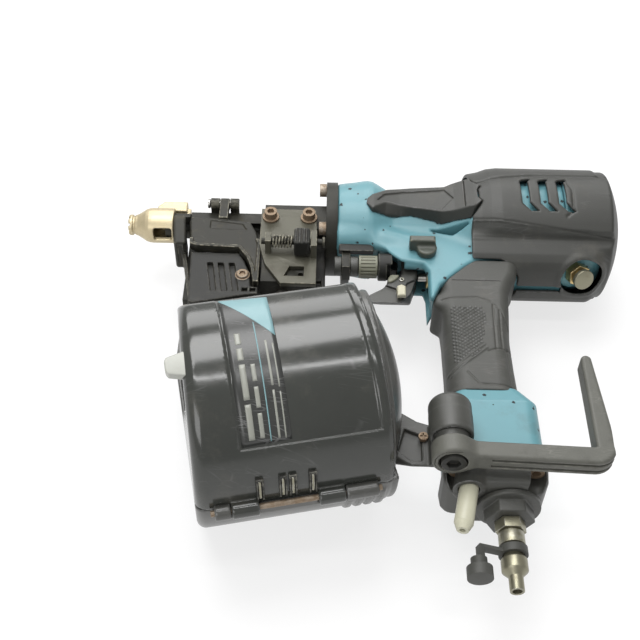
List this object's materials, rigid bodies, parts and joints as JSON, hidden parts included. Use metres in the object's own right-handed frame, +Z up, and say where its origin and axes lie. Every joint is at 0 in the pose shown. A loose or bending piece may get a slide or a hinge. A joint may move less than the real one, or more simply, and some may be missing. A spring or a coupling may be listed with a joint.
{
  "type": "coil roofing nailer",
  "caption": "Pneumatic coil nailer with a barrel body, upright grip, drum magazine with a swing cover, nail guide door, contact tip, trigger, belt hook and air plug.",
  "frame": {"origin": "middle of the resting outline, on the surface the tool lies on", "axes": "+X from the nose to the rear of the barrel, +Y from the air plug to the top of the barrel, +Z up from the surface, towards the tool's left side"},
  "size_m": [0.3156, 0.2928, 0.125],
  "materials": {
    "teal_paint": "satin paint, chipped",
    "black_plastic": "fine grain",
    "gloss_black": "glossy, scuffed",
    "rubber": "textured",
    "steel": "machined",
    "nose_steel": "worn dark casting",
    "tip_plate": "pale plated",
    "plug_steel": "bright plated",
    "brass": "machined",
    "bolt": "rust stained",
    "olive": "moulded",
    "beige": "moulded",
    "seal": "smooth",
    "bright_alloy": "machined"
  },
  "bodies": {
    "tool": {"body_housing": "teal_paint", "handle_frame": "teal_paint", "cylinder_head": "teal_paint", "rear_cover": "black_plastic", "front_shroud": "black_plastic", "grip_sleeve": "rubber", "cylinder_sleeve": "steel", "bumper": "seal", "head_valve_spring": "steel", "nose": "nose_steel", "nose_bolts": "bolt", "contact_spring": "steel", "feeder_block": "nose_steel", "feeder_plate": "nose_steel", "feeder_bolts": "bolt", "feed_spring": "steel", "door_hinge_pin": "steel", "latch_spring": "steel", "trigger_pin": "steel", "valve_bushing": "brass", "valve_spring": "steel", "magazine_base": "black_plastic", "cover_hinge_pin": "steel", "support_spindle": "steel", "magazine_stay": "black_plastic", "stay_screw": "bolt", "end_cap_gasket": "seal", "end_cap": "black_plastic", "end_cap_bolts": "bolt", "inlet_bushing": "black_plastic", "air_plug": "plug_steel", "button_seat": "brass", "hook_post": "black_plastic", "hook_bolt": "bolt", "hook_washer": "steel"},
    "drive": {"piston": "bright_alloy", "piston_seal": "seal", "driver_blade": "steel"},
    "head_valve": {"head_valve": "beige"},
    "contact": {"contact_tip": "tip_plate", "contact_arm": "steel", "push_rod": "black_plastic", "dial_sleeve": "black_plastic"},
    "dial": {"depth_dial": "olive"},
    "feeder": {"feed_piston": "steel", "feed_pawl": "nose_steel"},
    "door": {"nail_guide_door": "nose_steel"},
    "latch": {"latch_knob": "black_plastic", "latch_shaft": "steel"},
    "trigger": {"trigger": "black_plastic", "trigger_arm": "steel"},
    "mode": {"mode_lever": "beige"},
    "plunger": {"valve_plunger": "steel"},
    "cover": {"magazine_cover": "gloss_black"},
    "support": {"nail_support": "olive"},
    "selector": {"power_selector": "olive"},
    "plug_cap": {"dust_cap": "rubber"},
    "nozzle": {"duster_nozzle": "olive"},
    "button": {"duster_button": "plug_steel"},
    "hook": {"hook": "black_plastic"}
  },
  "joints": [
    {"name": "drive_stroke", "type": "slide", "parent": "tool", "child": "drive", "axis": [-1, 0, 0], "range_m": [0, 0.086]},
    {"name": "head_valve_lift", "type": "slide", "parent": "tool", "child": "head_valve", "axis": [1, 0, 0], "range_m": [0, 0.005], "stiffness_N_per_m": 2000, "springref_m": -0.003, "deforming": ["head_valve_spring"]},
    {"name": "contact_press", "type": "slide", "parent": "tool", "child": "contact", "axis": [1, 0, 0], "range_m": [0, 0.01], "stiffness_N_per_m": 700, "springref_m": -0.006, "deforming": ["contact_spring"]},
    {"name": "dial_turn", "type": "hinge", "parent": "contact", "child": "dial", "pos_m": [-0.00515, 0.0649, 0.049], "axis": [1, 0, 0], "range_deg": [-360, 360]},
    {"name": "feed_stroke", "type": "slide", "parent": "tool", "child": "feeder", "axis": [0, -1, 0], "range_m": [0, 0.008], "stiffness_N_per_m": 900, "springref_m": -0.004, "deforming": ["feed_spring"]},
    {"name": "door_swing", "type": "hinge", "parent": "tool", "child": "door", "pos_m": [-0.09615, 0.1174, 0.05], "axis": [-1, 0, 0], "range_deg": [0, 80]},
    {"name": "latch_push", "type": "slide", "parent": "tool", "child": "latch", "axis": [-1, 0, 0], "range_m": [0, 0.003], "stiffness_N_per_m": 900, "springref_m": -0.003, "deforming": ["latch_spring"]},
    {"name": "trigger_pull", "type": "hinge", "parent": "tool", "child": "trigger", "pos_m": [0.01985, 0.0714, 0.041], "axis": [0, 0, 1], "range_deg": [0, 12], "stiffness_Nm_per_rad": 1, "springref_deg": -8.59},
    {"name": "mode_turn", "type": "hinge", "parent": "trigger", "child": "mode", "pos_m": [0.01435, 0.0464, 0.041], "axis": [0, 0, 1], "range_deg": [0, 90]},
    {"name": "plunger_slide", "type": "slide", "parent": "tool", "child": "plunger", "axis": [1, 0, 0], "range_m": [0, 0.0016], "deforming": ["valve_spring"]},
    {"name": "cover_swing", "type": "hinge", "parent": "tool", "child": "cover", "pos_m": [-0.03764, -0.10918, 0.0625], "axis": [0.9781, 0.2079, 0], "range_deg": [0, 100]},
    {"name": "support_slide", "type": "slide", "parent": "tool", "child": "support", "axis": [0.9781, 0.2079, 0], "range_m": [-0.015, 0.02]},
    {"name": "selector_turn", "type": "hinge", "parent": "tool", "child": "selector", "pos_m": [0.02985, 0.0689, 0.061], "axis": [0, 0, 1], "range_deg": [0, 90]},
    {"name": "plug_cap_swing", "type": "hinge", "parent": "tool", "child": "plug_cap", "pos_m": [0.06635, -0.1246, 0.041], "axis": [0, -1, 0], "range_deg": [-60, 60]},
    {"name": "nozzle_press", "type": "slide", "parent": "tool", "child": "nozzle", "axis": [0.2011, 0.9796, 0], "range_m": [0, 0.003], "stiffness_N_per_m": 500, "springref_m": -0.002},
    {"name": "button_press", "type": "slide", "parent": "tool", "child": "button", "axis": [-0.3, 0.9019, -0.3107], "range_m": [0, 0.0022], "stiffness_N_per_m": 800, "springref_m": -0.002},
    {"name": "hook_swing", "type": "hinge", "parent": "tool", "child": "hook", "pos_m": [0.03485, -0.0876, 0.074], "axis": [0, -1, 0], "range_deg": [0, 95]}
  ],
  "couplings": [
    {"joint": "plunger_slide", "follows": "trigger_pull", "m_per_rad": 0.0075}
  ]
}
